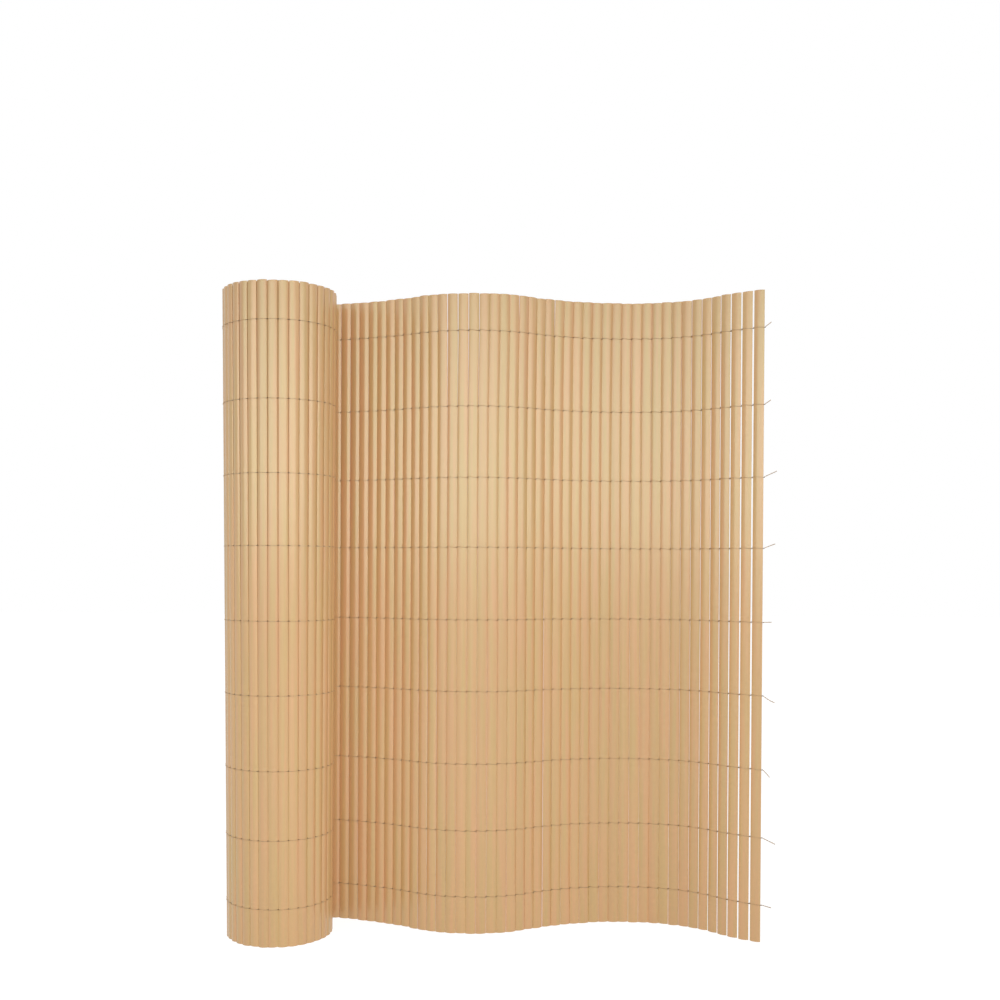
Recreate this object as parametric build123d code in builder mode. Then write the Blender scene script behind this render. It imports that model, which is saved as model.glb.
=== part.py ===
from build123d import *
import os
from math import cos, degrees, radians, sin

# Slats: upright hollow tubes with a lens-like section, whose two faces bulge in three facets
MAT_HEIGHT = 900.0
SLAT_WIDTH = 13.9
SLAT_THICKNESS = 5.0
SLAT_FLAT = 5.6
SLAT_SIDE = 1.0
SLAT_WALL = 0.5
SHEET_PITCH = 14.48

# Sheet: how many slats each bend has and how far it turns, from the roll to the free end
LEAVING_HEADING = -2.2
SHEET_BENDS = ((14, -30.0), (12, 63.2), (14, -45.7), (5, -31.6), (4, 15.2))
LOOSE_SLATS = 9
LOOSE_GAP = 2.7

# Cords: nine rows of strand, read off the photo as heights above the ground
CORD = 0.6
CORD_IN_GAP = 0.3
CORD_HEIGHTS = (52.0, 145.0, 239.0, 341.0, 442.0, 544.0, 642.0, 742.0, 848.0)
CORD_TAIL = 14.0
CORD_SWAP_GAP = 2
CORD_ROLL_SLATS = 31

# Roll: six turns around an open core, one slat and one cord apart, its slats closer than the sheet's
ROLL_AXIS = Vector(-301.3, -1.7)
ROLL_RADIUS = 77.2
ROLL_PITCH = 13.95
ROLL_SLATS = 160
OUTER_TURN_SLATS = 34
TURN_SPACING = SLAT_THICKNESS + CORD
NOTCH_DEPTH = 2.3

FACE = SLAT_THICKNESS / 2
SIDE = SLAT_SIDE / 2
HALF_WIDTH = SLAT_WIDTH / 2
HALF_FLAT = SLAT_FLAT / 2
BACK_FACE = ((-HALF_WIDTH, SIDE), (-HALF_FLAT, FACE), (HALF_FLAT, FACE), (HALF_WIDTH, SIDE))
FREE_SLATS = sum(count for count, turn in SHEET_BENDS)

os.makedirs("parts", exist_ok=True)


def toward(angle):
    """A unit step in plan, at an angle in degrees from the X axis."""
    return Vector(cos(radians(angle)), sin(radians(angle)))


def sheet_joints():
    """The middles of the gaps between slats, from the roll to the free end."""
    heading = LEAVING_HEADING
    joints = [ROLL_AXIS + toward(heading + 90) * ROLL_RADIUS]
    for count, turn in SHEET_BENDS:
        for _ in range(count):
            heading += turn / count
            slack = max(0, len(joints) - (FREE_SLATS - LOOSE_SLATS)) / LOOSE_SLATS
            joints.append(joints[-1] + toward(heading) * (SHEET_PITCH + LOOSE_GAP * slack))
    return joints


def roll_joints():
    """The middles of the gaps in the roll, from the core out to where the sheet leaves."""
    radius = ROLL_RADIUS
    angle = LEAVING_HEADING + 90
    joints = []
    for _ in range(ROLL_SLATS):
        step = degrees(ROLL_PITCH / radius)
        radius -= TURN_SPACING * step / 360
        angle += step
        joints.insert(0, ROLL_AXIS + toward(angle) * radius)
    return joints


# The mat as a chain of straight links, one for each slat, from the core to the free end
joints = roll_joints() + sheet_joints()
links = [(end - start).normalized() for start, end in zip(joints, joints[1:])]
normals = [Vector(-link.Y, link.X) for link in links]
mitres = [(a + b) / (1 + a.dot(b)) for a, b in zip(normals, normals[1:])]
mitres = [normals[0]] + mitres + [normals[-1]]


def beside(joint, distance):
    """The point beside a joint where lines parallel to its two links meet."""
    return joints[joint] + mitres[joint] * distance


def middle(slat):
    """The middle of a slat in plan."""
    return (joints[slat] + joints[slat + 1]) / 2


def crest(slat, side):
    """The middle of a slat's bulging face: side 1 is the back, -1 the front."""
    return middle(slat) + normals[slat] * (side * FACE)


def back_face(slat):
    """The corners of a slat's back face, from the core's side to the sheet's."""
    return [middle(slat) + links[slat] * along + normals[slat] * across for along, across in BACK_FACE]


# Roll: one wall of slats wound in a spiral, with notches between the slats of its outer face
first_outer = ROLL_SLATS - OUTER_TURN_SLATS
with BuildPart() as roll:
    with BuildSketch():
        with BuildLine():
            for slat in range(ROLL_SLATS):
                Polyline(beside(slat, -SIDE), crest(slat, -1), beside(slat + 1, -SIDE))
            for slat in range(first_outer):
                Polyline(beside(slat, SIDE), crest(slat, 1), beside(slat + 1, SIDE))
            Line(beside(first_outer, SIDE), back_face(first_outer)[0])
            for slat in range(first_outer, ROLL_SLATS):
                Polyline(*back_face(slat))
            for slat in range(first_outer, ROLL_SLATS - 1):
                notch = beside(slat + 1, FACE - NOTCH_DEPTH)
                Polyline(back_face(slat)[-1], notch, back_face(slat + 1)[0])
            Line(beside(0, SIDE), beside(0, -SIDE))
            Line(back_face(ROLL_SLATS - 1)[-1], beside(ROLL_SLATS, -SIDE))
        make_face()
    extrude(amount=MAT_HEIGHT)
roll.part.label = "roll"
export_step(roll.part, "parts/roll.step")

# Slats of the sheet: one loop makes each slat on its own link, with a wall of even thickness
front_face = [(along, -across) for along, across in reversed(BACK_FACE)]
for number in range(1, FREE_SLATS + 1):
    link = ROLL_SLATS + number - 1
    with BuildPart() as slat:
        with BuildSketch(Plane(origin=middle(link), x_dir=links[link], z_dir=(0, 0, 1))):
            with BuildLine():
                Polyline(*BACK_FACE, *front_face, close=True)
            make_face()
            offset(amount=-SLAT_WALL, kind=Kind.INTERSECTION, mode=Mode.SUBTRACT)
        extrude(amount=MAT_HEIGHT)
    slat.part.label = f"slat_{number:02d}"
    export_step(slat.part, f"parts/slat_{number:02d}.step")

# Cord in plan: along the sheet's front, through one gap behind the roll, then around the roll
swap = ROLL_SLATS + CORD_SWAP_GAP
roll_end = ROLL_SLATS - CORD_ROLL_SLATS
sheet_run = range(swap + 1, ROLL_SLATS + FREE_SLATS)
roll_run = range(roll_end, swap)
half_cord = links[swap] * (CORD_IN_GAP / 2)
tail_tip = links[-1] * CORD_TAIL
front_outer = [beside(joint, -FACE - CORD) for joint in sheet_run] + [beside(-1, -FACE - CORD) + tail_tip]
front_inner = [beside(joint, -FACE) for joint in sheet_run] + [beside(-1, -FACE) + tail_tip]
back_outer = [beside(joint, FACE + CORD) for joint in roll_run]
back_inner = [beside(joint, FACE) for joint in roll_run]
to_back = [beside(swap, -FACE - CORD) - half_cord, beside(swap, FACE) - half_cord]
to_front = [beside(swap, FACE + CORD) + half_cord, beside(swap, -FACE) + half_cord]
cord_outline = front_outer[::-1] + to_back + back_inner[::-1] + back_outer + to_front + front_inner

# Cords: the same route at each row's height
for number, height in enumerate(CORD_HEIGHTS, start=1):
    with BuildPart() as cord:
        with BuildSketch(Plane.XY.offset(height - CORD / 2)):
            with BuildLine():
                Polyline(*cord_outline, close=True)
            make_face()
        extrude(amount=CORD)
    cord.part.label = f"cord_{number}"
    export_step(cord.part, f"parts/cord_{number}.step")
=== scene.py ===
import bpy
import math
import numpy as np
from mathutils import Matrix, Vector


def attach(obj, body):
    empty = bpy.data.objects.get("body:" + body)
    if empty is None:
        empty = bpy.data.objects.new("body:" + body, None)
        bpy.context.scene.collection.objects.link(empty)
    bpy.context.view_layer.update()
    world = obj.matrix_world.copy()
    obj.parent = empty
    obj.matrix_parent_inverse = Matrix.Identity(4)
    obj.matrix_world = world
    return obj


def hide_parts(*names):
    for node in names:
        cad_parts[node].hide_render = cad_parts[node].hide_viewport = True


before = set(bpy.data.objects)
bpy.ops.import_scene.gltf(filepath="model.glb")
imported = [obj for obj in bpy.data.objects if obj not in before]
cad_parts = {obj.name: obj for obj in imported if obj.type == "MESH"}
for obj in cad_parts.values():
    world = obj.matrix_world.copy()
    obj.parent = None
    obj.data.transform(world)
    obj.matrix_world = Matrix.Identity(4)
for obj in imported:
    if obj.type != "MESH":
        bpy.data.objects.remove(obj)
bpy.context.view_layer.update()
SEED = 20
MM = 0.001
rng = np.random.default_rng(SEED)

# The mat's plan in millimetres, with the same values as the solids
MAT_HEIGHT = 900.0
SLAT_THICKNESS = 5.0
SLAT_WALL = 0.5
SHEET_PITCH = 14.48
LEAVING_HEADING = -2.2
SHEET_BENDS = ((14, -30.0), (12, 63.2), (14, -45.7), (5, -31.6), (4, 15.2))
LOOSE_SLATS = 9
LOOSE_GAP = 2.7
CORD_HEIGHTS = (52.0, 145.0, 239.0, 341.0, 442.0, 544.0, 642.0, 742.0, 848.0)
ROLL_AXIS = np.array((-301.3, -1.7))
ROLL_RADIUS = 77.2
ROLL_PITCH = 13.95
ROLL_SLATS = 160
TURN_SPACING = 5.6
FREE_SLATS = sum(count for count, turn in SHEET_BENDS)

# What the solids leave out: round section, looseness of the roll, uneven cuts and slats out of line
SHEET_SLAT_WIDTH = 14.4
ROLL_SLAT_WIDTH = 13.5
SLAT_EDGE = 0.5
ROLL_FLARE = 2.9
ROLL_LEAN = np.array((-1.7, 0.0))
LEAN_FADE_SLATS = 6
OUTER_TURN_SLATS = 35
INNER_TURN_SLATS = 24
YAW_SPREAD = 1.3
TWIST_SPREAD = 0.5
WIDEST_SPREADS = 2
LOOSE_YAW = 5.0
LOOSE_STEADINESS = 3
CUT_SPREAD = 0.8
CUT_TILT_SPREAD = 0.02
CUT_CHAMFER = 0.15
CUT_EDGE = 3 * CUT_CHAMFER
CUT_LIP = 1.0
BODY_MARGIN = 2.0
SHIFT_SPREAD = 0.1
SHIFT_POWER = 4
SLAT_SHARP = 50

# Gaps at the top of the sheet, by how far down they reach, and the slats that close up to make room
PARTINGS = {60: {24: 0.8, 28: 0.8}, 160: {17: 0.9, 18: 0.9, 19: 0.7, 20: 0.6}}
CLOSED_UP = slice(ROLL_SLATS + 7, ROLL_SLATS + 42)

# Cords: two thin strands that swap sides in every gap
STRAND = 0.6
STRAND_RISE = 0.75
STRAND_SIDES = 6
STRAND_STEPS = 14
CROSSING = 0.06
GAP_POWER = 6
GAP_SWELL = 0.6
CORD_SHARP = 70
TAIL_SPREAD = 0.34
TAIL_SPLAY = 0.5
TAIL_STEPS = 16
TAIL_TURNS = 2.5
TAIL_SLANT = -0.5
TAILS = {
    9: ((7.3, 5.6),),
    8: ((7.3, 5.0),),
    7: ((15.2, 7.3),),
    6: ((14.0, 5.8),),
    5: ((10.2, 0.4),),
    4: ((8.2, -6.8), (14.6, -8.8)),
    3: ((3.3, -2.2), (9.0, -9.8)),
    2: ((16.4, -7.0),),
    1: ((12.2, -2.1),),
}


def toward(angle):
    """A unit step in plan, at an angle in degrees from the X axis."""
    return np.array((math.cos(math.radians(angle)), math.sin(math.radians(angle))))


def sheet_joints():
    """The middles of the gaps between slats, from the roll to the free end."""
    heading = LEAVING_HEADING
    points = [ROLL_AXIS + toward(heading + 90) * ROLL_RADIUS]
    for count, turn in SHEET_BENDS:
        for _ in range(count):
            heading += turn / count
            slack = max(0, len(points) - (FREE_SLATS - LOOSE_SLATS)) / LOOSE_SLATS
            points.append(points[-1] + toward(heading) * (SHEET_PITCH + LOOSE_GAP * slack))
    return points


def roll_joints():
    """The middles of the gaps in the roll, from the core out to where the sheet leaves."""
    radius = ROLL_RADIUS
    angle = LEAVING_HEADING + 90
    points = []
    for _ in range(ROLL_SLATS):
        step = math.degrees(ROLL_PITCH / radius)
        radius -= TURN_SPACING * step / 360
        angle += step
        points.insert(0, ROLL_AXIS + toward(angle) * radius)
    return points


joints = np.array(roll_joints() + sheet_joints())
spans = np.diff(joints, axis=0)
lengths = np.linalg.norm(spans, axis=1)
links = spans / lengths[:, None]
normals = np.column_stack((-links[:, 1], links[:, 0]))
middles = (joints[:-1] + joints[1:]) / 2
ALL_SLATS = len(links)


def leaning(slat, height):
    """How far a slat is off its place in plan at a height: the roll widens upward and leans a little."""
    fade = np.clip(1 - (slat - ROLL_SLATS + 1) / LEAN_FADE_SLATS, 0, 1)
    return (normals[slat] * ROLL_FLARE + ROLL_LEAN) * fade * (2 * height / MAT_HEIGHT - 1)


def slat_width(slat):
    """How wide a slat looks: those of the roll stand a little apart in their valleys."""
    return ROLL_SLAT_WIDTH if slat < ROLL_SLATS else SHEET_SLAT_WIDTH


def face_centre(width, thickness, edge):
    """How far behind a slat's middle the centre of its face's arc lies."""
    run = width / 2 - edge
    rise = thickness / 2 - edge
    return (run**2 - rise**2) / (2 * rise)


def lens(width, thickness, edge, face_steps, edge_steps):
    """A slat's section in its own plan: two bulging faces joined by small round edges."""
    back = face_centre(width, thickness, edge)
    radius = back + thickness / 2
    run = width / 2 - edge
    turn = math.atan2(run, back)
    face = np.linspace(-turn, turn, face_steps, endpoint=False)
    side = np.linspace(turn, np.pi - turn, edge_steps, endpoint=False)
    half = [(radius * math.sin(a), radius * math.cos(a) - back) for a in face]
    half += [(run + edge * math.sin(a), edge * math.cos(a)) for a in side]
    half = np.array(half)
    return np.concatenate((half, -half))[::-1]


# Each slat's own small faults, the same in every run
widest_yaw = WIDEST_SPREADS * YAW_SPREAD
yaws = np.radians(rng.normal(0, YAW_SPREAD, ALL_SLATS).clip(-widest_yaw, widest_yaw))
yaws[-LOOSE_SLATS:] = yaws[-LOOSE_SLATS:] / LOOSE_STEADINESS + math.radians(LOOSE_YAW)
twists = np.radians(rng.normal(0, TWIST_SPREAD, ALL_SLATS))
top_cuts = rng.uniform(-CUT_SPREAD, 0, ALL_SLATS)
foot_cuts = rng.uniform(0, CUT_SPREAD, ALL_SLATS)
tilts = rng.normal(0, CUT_TILT_SPREAD, ALL_SLATS)
tones = rng.normal(0, 1, ALL_SLATS).clip(-WIDEST_SPREADS, WIDEST_SPREADS)
top_shifts = rng.uniform(-SHIFT_SPREAD, SHIFT_SPREAD, ALL_SLATS)
foot_shifts = rng.uniform(-SHIFT_SPREAD, SHIFT_SPREAD, ALL_SLATS)
parted = {}
for depth, gaps in PARTINGS.items():
    openings = np.zeros(ALL_SLATS)
    for number, opening in gaps.items():
        openings[ROLL_SLATS + number] = opening
    openings[CLOSED_UP] -= openings.sum() / len(openings[CLOSED_UP])
    parted[depth] = np.cumsum(openings)


def shift(slat, height):
    """How far a slat is off along its row: its ends bend out of line, its middle is held by the cords."""
    share = height / MAT_HEIGHT
    down = MAT_HEIGHT - height
    bent = top_shifts[slat] * share**SHIFT_POWER + foot_shifts[slat] * (1 - share) ** SHIFT_POWER
    opened = [moved[slat] * max(0, 1 - down / depth) for depth, moved in parted.items()]
    return bent + sum(opened)


def turned(slat, along, across, height):
    """Points of a slat's own plan, turned by the slat's yaw and twist and set on its link."""
    angle = yaws[slat] + twists[slat] * (2 * height / MAT_HEIGHT - 1)
    right = along * math.cos(angle) - across * math.sin(angle)
    rear = along * math.sin(angle) + across * math.cos(angle)
    place = middles[slat] + links[slat] * shift(slat, height) + leaning(slat, height)
    return place + right[:, None] * links[slat] + rear[:, None] * normals[slat]


def slat_rings(slat, face_steps, edge_steps, levels):
    """Rings of points up a slat's outside and down its inside, and which of them are cut edges."""
    top = MAT_HEIGHT + top_cuts[slat]
    foot = foot_cuts[slat]
    steps = (face_steps, edge_steps)
    width = slat_width(slat)
    worn = 2 * CUT_CHAMFER
    outer = lens(width, SLAT_THICKNESS, SLAT_EDGE, *steps)
    rim = lens(width - worn, SLAT_THICKNESS - worn, SLAT_EDGE - CUT_CHAMFER, *steps)
    inner = lens(width - 2 * SLAT_WALL, SLAT_THICKNESS - 2 * SLAT_WALL, SLAT_EDGE / 2, *steps)
    body = np.linspace(foot + BODY_MARGIN, top - BODY_MARGIN, levels)
    plan = [(rim, foot, 1), (outer, foot + CUT_CHAMFER, 1), (outer, foot + CUT_EDGE, 0)]
    plan += [(outer, z, 0) for z in body]
    plan += [(outer, top - CUT_EDGE, 0), (outer, top - CUT_CHAMFER, 1), (rim, top, 1)]
    plan += [(inner, top, 1), (inner, top - CUT_LIP, 0), (inner, foot + CUT_LIP, 0), (inner, foot, 1)]
    rings, cut = [], []
    for section, z, is_cut in plan:
        height = np.maximum(z + tilts[slat] * section[:, 0], 0)
        rings.append(np.column_stack((turned(slat, *section.T, z), height)))
        cut += [is_cut] * len(section)
    return np.array(rings), cut


def torus_faces(rings, sides, first=0):
    """Quads of a grid that closes both ways, from a first vertex on."""
    i, j = np.meshgrid(np.arange(rings), np.arange(sides), indexing="ij")
    next_i, next_j = (i + 1) % rings, (j + 1) % sides
    quads = np.stack((i * sides + j, i * sides + next_j, next_i * sides + next_j, next_i * sides + j), -1)
    return quads.reshape(-1, 4) + first


def make_piece(name, points, faces, values, material, sharp=SLAT_SHARP):
    """A mesh object in metres that rides on the one body, with named values on its points."""
    mesh = bpy.data.meshes.new(name)
    mesh.from_pydata((np.asarray(points) * MM).tolist(), [], faces)
    for label, data in values.items():
        attribute = mesh.attributes.new(label, "FLOAT", "POINT")
        attribute.data.foreach_set("value", np.asarray(data, dtype=np.float32))
    mesh.shade_smooth()
    mesh.set_sharp_from_angle(angle=math.radians(sharp))
    mesh.materials.append(material)
    piece = bpy.data.objects.new(name, mesh)
    bpy.context.scene.collection.objects.link(piece)
    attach(piece, "root")
    return piece


def node(tree, kind, inputs=None, **settings):
    """A shader node with its settings, constant inputs and links."""
    made = tree.nodes.new(kind)
    for key, value in settings.items():
        setattr(made, key, value)
    for key, value in (inputs or {}).items():
        if isinstance(value, bpy.types.NodeSocket):
            tree.links.new(value, made.inputs[key])
        else:
            made.inputs[key].default_value = value
    return made


def empty_tree(owner):
    """The node tree of a material or a world, with nothing in it."""
    owner.use_nodes = True
    owner.node_tree.nodes.clear()
    return owner.node_tree


def new_material(name):
    """A material with its tree, its shader and its output."""
    material = bpy.data.materials.new(name)
    tree = empty_tree(material)
    shader = node(tree, "ShaderNodeBsdfPrincipled")
    node(tree, "ShaderNodeOutputMaterial", {"Surface": shader.outputs[0]})
    return material, tree, shader


def linear(red, green, blue):
    """A colour written as screen values, as the shader takes it."""
    parts = [c / 255 for c in (red, green, blue)]
    return tuple(c / 12.92 if c <= 0.04045 else ((c + 0.055) / 1.055) ** 2.4 for c in parts) + (1.0,)


def point_value(tree, name):
    """A named value of the mesh's points."""
    return node(tree, "ShaderNodeAttribute", attribute_name=name).outputs["Fac"]


def multiply_add(tree, value, factor, added):
    """A value times a factor, plus what is added."""
    terms = {0: value, 1: factor, 2: added}
    return node(tree, "ShaderNodeMath", terms, operation="MULTIPLY_ADD").outputs[0]


def streaks(tree, across, along, detail, seed):
    """Noise drawn out along the slats: grain size across and along, in millimetres."""
    where = node(tree, "ShaderNodeTexCoord").outputs["Object"]
    scale = (1 / (across * MM), 1 / (across * MM), 1 / (along * MM))
    place = (seed, seed, seed)
    drawn = node(tree, "ShaderNodeMapping", {"Vector": where, "Scale": scale, "Location": place})
    noise = node(tree, "ShaderNodeTexNoise", {"Vector": drawn.outputs[0], "Scale": 1.0, "Detail": detail})
    return noise.outputs["Fac"]


def ramp(tree, value, low, high):
    """A colour that goes with a value, from one colour at a low stop to another at a high stop."""
    made = node(tree, "ShaderNodeValToRGB", {"Fac": value})
    for element, (position, colour) in zip(made.color_ramp.elements, (low, high)):
        element.position = position
        element.color = linear(*colour)
    return made.outputs[0]


# Plastic: grains as size across and along, detail and seed, then colours, contrasts, gloss and bump
FINE_GRAIN = (0.9, 60, 3, 0)
BROAD_GRAIN = (7, 180, 2, 5)
LINE_GRAIN = (0.35, 90, 2, 11)
PVC_PINKISH = (0.35, (211, 164, 119))
PVC_YELLOWISH = (0.65, (203, 167, 115))
PVC_SHADE = 0.95
GRAIN_CONTRAST = 0.10
TONE_CONTRAST = 0.018
CUT_LIGHTER = 0.10
PVC_ROUGHNESS = 0.15
ROUGHNESS_SPREAD = 0.10
GLOSS_LEVEL = 0.8
GLOSS_TINT = (0.86, 1.0, 0.82, 1.0)
GLOSS_STRETCH = 0.5
GLOSS_UPRIGHT = 0.25
LINE_BUMP = 0.10
LINE_DEPTH = 0.0002


def pvc_material():
    """Satin plastic with drawn streaks, a tone for each slat and paler cut ends."""
    material, tree, shader = new_material("slat_pvc_satin")
    tone = point_value(tree, "tone")
    cut = point_value(tree, "cut")
    fine = streaks(tree, *FINE_GRAIN)
    broad = streaks(tree, *BROAD_GRAIN)
    colour = ramp(tree, broad, PVC_PINKISH, PVC_YELLOWISH)
    shade = multiply_add(tree, fine, GRAIN_CONTRAST, PVC_SHADE)
    shade = multiply_add(tree, tone, TONE_CONTRAST, shade)
    shade = multiply_add(tree, cut, CUT_LIGHTER, shade)
    painted = node(tree, "ShaderNodeVectorMath", {0: colour, 1: shade}, operation="MULTIPLY").outputs[0]
    tree.links.new(painted, shader.inputs["Base Color"])
    rough = multiply_add(tree, fine, ROUGHNESS_SPREAD, PVC_ROUGHNESS)
    tree.links.new(rough, shader.inputs["Roughness"])
    shader.inputs["Specular IOR Level"].default_value = GLOSS_LEVEL
    shader.inputs["Specular Tint"].default_value = GLOSS_TINT
    shader.inputs["Anisotropic"].default_value = GLOSS_STRETCH
    shader.inputs["Anisotropic Rotation"].default_value = GLOSS_UPRIGHT
    ring = node(tree, "ShaderNodeTangent", direction_type="RADIAL", axis="Z")
    tree.links.new(ring.outputs[0], shader.inputs["Tangent"])
    lines = streaks(tree, *LINE_GRAIN)
    relief = {"Height": lines, "Strength": LINE_BUMP, "Distance": LINE_DEPTH}
    bump = node(tree, "ShaderNodeBump", relief).outputs[0]
    tree.links.new(bump, shader.inputs["Normal"])
    return material


# Yarn: plies, unevenness, colours, and painted shade with some dirt where the strands cross in the gaps
PLY_TURN = 2.6
PLY_CONTRAST = 0.10
PLY_BUMP = 0.6
PLY_DEPTH = 0.0001
YARN_NOISE = 260.0
YARN_DETAIL = 3.0
YARN_DARK = (0.0, (112, 88, 58))
YARN_LIGHT = (0.6, (194, 162, 121))
YARN_ROUGHNESS = 0.75
# How much darker the strands are in the gaps between slats: painted shade of the grooves, with some dirt
GAP_SHADE_AND_DIRT = -1.0


def cord_material():
    """Twisted yarn: slanting plies along the strand, with uneven colour, darker in the gaps between slats
    from painted shade with some dirt.
    """
    material, tree, shader = new_material("cord_yarn")
    along = point_value(tree, "along")
    around = point_value(tree, "around")
    turn = multiply_add(tree, along, PLY_TURN, around)
    ply = node(tree, "ShaderNodeMath", {0: turn}, operation="SINE").outputs[0]
    where = node(tree, "ShaderNodeTexCoord").outputs["Object"]
    noise = {"Vector": where, "Scale": YARN_NOISE, "Detail": YARN_DETAIL}
    uneven = node(tree, "ShaderNodeTexNoise", noise).outputs["Fac"]
    deep = point_value(tree, "deep")
    shade = multiply_add(tree, ply, PLY_CONTRAST, uneven)
    # Strands darker in the gaps between slats: painted shade of the grooves, with some dirt
    shade = multiply_add(tree, deep, GAP_SHADE_AND_DIRT, shade)
    colour = ramp(tree, shade, YARN_DARK, YARN_LIGHT)
    tree.links.new(colour, shader.inputs["Base Color"])
    shader.inputs["Roughness"].default_value = YARN_ROUGHNESS
    relief = {"Height": ply, "Strength": PLY_BUMP, "Distance": PLY_DEPTH}
    bump = node(tree, "ShaderNodeBump", relief).outputs[0]
    tree.links.new(bump, shader.inputs["Normal"])
    return material


pvc = pvc_material()
yarn = cord_material()

# Slats of the sheet, one for each solid, with steps across a face, round an edge and up the slat
SEEN_STEPS = (14, 6, 16)
HIDDEN_STEPS = (6, 3, 2)
for number in range(1, FREE_SLATS + 1):
    slat = ROLL_SLATS + number - 1
    rings, cut = slat_rings(slat, *SEEN_STEPS)
    faces = torus_faces(*rings.shape[:2]).tolist()
    values = {"tone": np.full(len(cut), tones[slat]), "cut": cut}
    piece = make_piece(f"slat_{number:02d}_oval", rings.reshape(-1, 3), faces, values, pvc)
    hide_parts(f"slat_{number:02d}")

# The roll: every slat of the spiral, the hidden ones with fewer sides
roll_points, roll_faces, roll_tones, roll_cuts = [], [], [], []
first = 0
for slat in range(ROLL_SLATS):
    seen = slat < INNER_TURN_SLATS or slat >= ROLL_SLATS - OUTER_TURN_SLATS
    rings, cut = slat_rings(slat, *(SEEN_STEPS if seen else HIDDEN_STEPS))
    roll_points.append(rings.reshape(-1, 3))
    roll_faces += torus_faces(*rings.shape[:2], first).tolist()
    roll_tones += [tones[slat]] * len(cut)
    roll_cuts += cut
    first += len(cut)
values = {"tone": roll_tones, "cut": roll_cuts}
piece = make_piece("roll_slats", np.concatenate(roll_points), roll_faces, values, pvc)
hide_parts("roll")


def strand_path(first_slat, last_slat, height, start_side):
    """Points of one strand from gap to gap, in front of one slat and behind the next."""
    path, deep = [], []
    run = -np.cos(np.linspace(0, np.pi, STRAND_STEPS + 1))
    done = (1 + run) / 2
    for slat in range(first_slat, last_slat + 1):
        side = start_side * (-1) ** (slat - first_slat)
        back = face_centre(slat_width(slat), SLAT_THICKNESS, SLAT_EDGE)
        radius = back + SLAT_THICKNESS / 2 + STRAND / 2
        along = lengths[slat] / 2 * run
        across = side * np.maximum(np.sqrt(radius**2 - along**2) - back, 0)
        across[[0, -1]] = 0
        if side < 0:
            rise = STRAND_RISE * (1 - 2 * done) * np.minimum(1, done / CROSSING)
        else:
            rise = -STRAND_RISE * np.minimum(1, (1 - done) / CROSSING)
        points = np.column_stack((turned(slat, along, across, height), height + rise))
        skip = 1 if path else 0
        path.extend(points[skip:])
        deep.extend(np.abs(run[skip:]) ** GAP_POWER)
    return path, deep


def tube(path, radius, sides, first):
    """Points, faces and yarn values of a closed tube along a path."""
    path = np.array(path)
    ahead = np.gradient(path, axis=0)
    ahead /= np.linalg.norm(ahead, axis=1)[:, None]
    side = np.cross(ahead, (0, 0, 1))
    side /= np.linalg.norm(side, axis=1)[:, None]
    up = np.cross(side, ahead)
    angle = np.linspace(0, 2 * np.pi, sides, endpoint=False)
    ring = np.cos(angle)[None, :, None] * side[:, None] + np.sin(angle)[None, :, None] * up[:, None]
    points = (path[:, None] + radius[:, None, None] * ring).reshape(-1, 3)
    faces = torus_faces(len(path), sides, first)[: (len(path) - 1) * sides].tolist()
    last = first + (len(path) - 1) * sides
    faces.append(list(range(first + sides - 1, first - 1, -1)))
    faces.append(list(range(last, last + sides)))
    travelled = np.concatenate(([0], np.cumsum(np.linalg.norm(np.diff(path, axis=0), axis=1))))
    return points, faces, np.repeat(travelled, sides), np.tile(angle, len(path))


def tail_path(bends, height, start_side):
    """Points of one strand past the last slat, wound round its twin along the tail's bends."""
    start = np.append(joints[-1], height)
    steps = [np.array((reach, TAIL_SLANT * reach, rise)) for reach, rise in bends]
    knots = np.array([start] + [start + step for step in steps])
    path = []
    for s in np.linspace(0, 1, TAIL_STEPS + 1)[1:]:
        points = knots
        while len(points) > 1:
            points = points[:-1] * (1 - s) + points[1:] * s
        spin = 2 * np.pi * TAIL_TURNS * s
        spread = start_side * TAIL_SPREAD * (1 + TAIL_SPLAY * s)
        path.append(points[0] + spread * np.array((0, math.sin(spin), math.cos(spin))))
    return path


# Cords: a pair of strands over the sheet and the roll's outer turn, another inside the core
for number, height in enumerate(CORD_HEIGHTS, start=1):
    points, faces = [], []
    values = {"along": [], "around": [], "deep": []}
    for start_side in (-1, 1):
        sheet, sheet_deep = strand_path(ROLL_SLATS - OUTER_TURN_SLATS, ALL_SLATS - 1, height, start_side)
        tail = tail_path(TAILS[number], height, start_side)
        core, core_deep = strand_path(0, INNER_TURN_SLATS - 1, height, start_side)
        for path, deep in ((sheet + tail, sheet_deep + [0] * len(tail)), (core, core_deep)):
            radius = STRAND / 2 * (1 + GAP_SWELL * np.array(deep))
            made = tube(path, radius, STRAND_SIDES, len(points))
            points.extend(made[0])
            faces += made[1]
            values["along"].extend(made[2])
            values["around"].extend(made[3])
            values["deep"].extend(np.repeat(deep, STRAND_SIDES))
    piece = make_piece(f"cord_{number}_strands", points, faces, values, yarn, sharp=CORD_SHARP)
    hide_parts(f"cord_{number}")


def seen_rays(tree):
    """One where the camera sees a surface, directly, in a reflection or through something clear."""
    rays = node(tree, "ShaderNodeLightPath").outputs
    seen = rays["Is Camera Ray"]
    for kind in ("Is Glossy Ray", "Is Transmission Ray"):
        seen = node(tree, "ShaderNodeMath", {0: seen, 1: rays[kind]}, operation="MAXIMUM").outputs[0]
    return seen


# Floor: a wide plain sheet under the mat
FLOOR = 12.0
WHITE = (1, 1, 1, 1)
FLOOR_SHADED = (0.25, 0.25, 0.25, 1)
FLOOR_GLOW = 0.90
FLOOR_BOUNCE = (0.7, 0.7, 0.7, 1)


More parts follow.
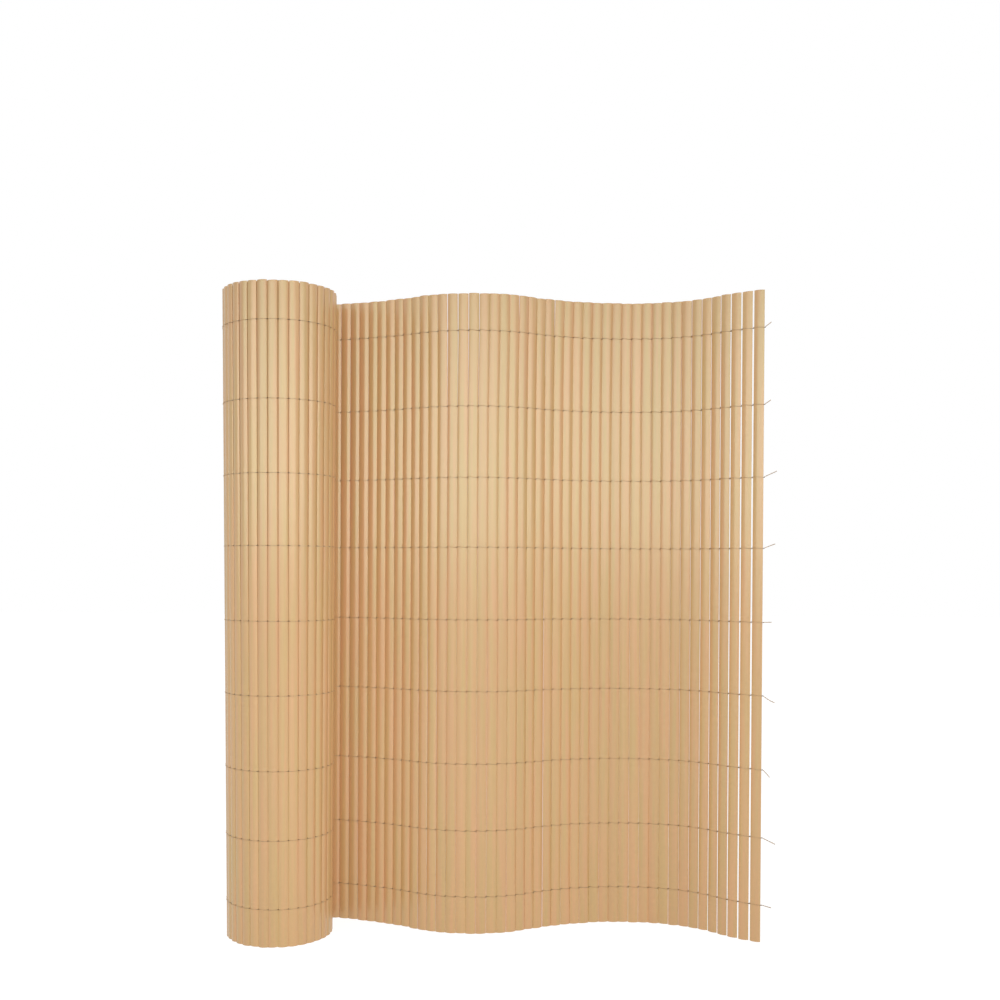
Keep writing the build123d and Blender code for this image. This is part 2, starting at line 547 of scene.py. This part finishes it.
def floor_material():
    """White where it is seen, apart from the mat's faint shadow, and a plain pale floor to other light."""
    material = bpy.data.materials.new("floor_white")
    tree = empty_tree(material)
    matte = node(tree, "ShaderNodeBsdfDiffuse", {"Color": FLOOR_SHADED})
    glow = node(tree, "ShaderNodeEmission", {"Color": WHITE, "Strength": FLOOR_GLOW})
    shown = node(tree, "ShaderNodeAddShader", {0: matte.outputs[0], 1: glow.outputs[0]})
    bounce = node(tree, "ShaderNodeBsdfDiffuse", {"Color": FLOOR_BOUNCE})
    seen = seen_rays(tree)
    mixed = node(tree, "ShaderNodeMixShader", {0: seen, 1: bounce.outputs[0], 2: shown.outputs[0]})
    node(tree, "ShaderNodeOutputMaterial", {"Surface": mixed.outputs[0]})
    return material


corners = [(-FLOOR, -FLOOR, 0), (FLOOR, -FLOOR, 0), (FLOOR, FLOOR, 0), (-FLOOR, FLOOR, 0)]
floor_mesh = bpy.data.meshes.new("floor")
floor_mesh.from_pydata(corners, [], [(0, 1, 2, 3)])
floor_mesh.materials.append(floor_material())
floor = bpy.data.objects.new("floor", floor_mesh)
bpy.context.scene.collection.objects.link(floor)

# World: soft light all round, white where it is seen
AMBIENT = 0.60
world = bpy.data.worlds.new("studio")
bpy.context.scene.world = world
tree = empty_tree(world)
strength = node(tree, "ShaderNodeMapRange", {"Value": seen_rays(tree), "To Min": AMBIENT, "To Max": 1.0})
back = node(tree, "ShaderNodeBackground", {"Color": WHITE, "Strength": strength.outputs[0]})
node(tree, "ShaderNodeOutputWorld", {"Surface": back.outputs[0]})


def softbox(name, place, aim, width, height, radiance):
    """A rectangular soft lamp of an even brightness."""
    lamp = bpy.data.lights.new(name, "AREA")
    lamp.shape = "RECTANGLE"
    lamp.size = width
    lamp.size_y = height
    lamp.energy = radiance * math.pi * width * height
    lit = bpy.data.objects.new(name, lamp)
    lit.location = place
    lit.rotation_euler = (Vector(aim) - Vector(place)).to_track_quat("-Z", "Y").to_euler()
    bpy.context.scene.collection.objects.link(lit)
    return lit


# A wide bank in front that shows as the gloss on the slats, with its lower edge above the mat's middle
GLOSS = 2.9
BANK_HEIGHT = 0.94
BANK_MIDDLE = 1.03
BANK_HALF = 3.2
BANK_BACK = 2.3
place = (0, -BANK_BACK, BANK_MIDDLE)
bank = softbox("gloss_bank", place, (0, 0, BANK_MIDDLE), 2 * BANK_HALF, BANK_HEIGHT, GLOSS)
bank.visible_diffuse = False

# Fill light from the front and both sides, without gloss or shadows, which evens out the fold by the roll
FILLS = {"front": ((-0.15, -1.3), 0.40), "left": ((-2.5, -0.7), 0.06), "right": ((2.5, -0.7), 0.20)}
FILL_SIZE = 0.6
FILL_MIDDLE = 0.3
for name, ((x, y), level) in FILLS.items():
    share = FILL_SIZE**2 / (math.pi * (x**2 + y**2))
    place = (x, y, FILL_MIDDLE)
    aim = (0, 0, FILL_MIDDLE)
    lamp = softbox(f"fill_{name}", place, aim, FILL_SIZE, FILL_SIZE, level / share)
    lamp.visible_glossy = False
    lamp.data.use_shadow = False

# Camera, as the photograph was taken
SENSOR = 36.0
LENS = 42.11
LENS_SHIFT = 0.082
CAMERA_PLACE = (0.0071, -1.6504, 0.5096)
CAMERA_PITCH = 89.5
CAMERA_ROLL = -0.3
camera = bpy.data.cameras.new("camera")
camera.sensor_width = SENSOR
camera.lens = LENS
camera.shift_y = LENS_SHIFT
seat = bpy.data.objects.new("camera", camera)
seat.location = CAMERA_PLACE
seat.rotation_euler = (math.radians(CAMERA_PITCH), math.radians(CAMERA_ROLL), 0)
bpy.context.scene.collection.objects.link(seat)
bpy.context.scene.camera = seat
bpy.context.scene.view_settings.view_transform = "Standard"
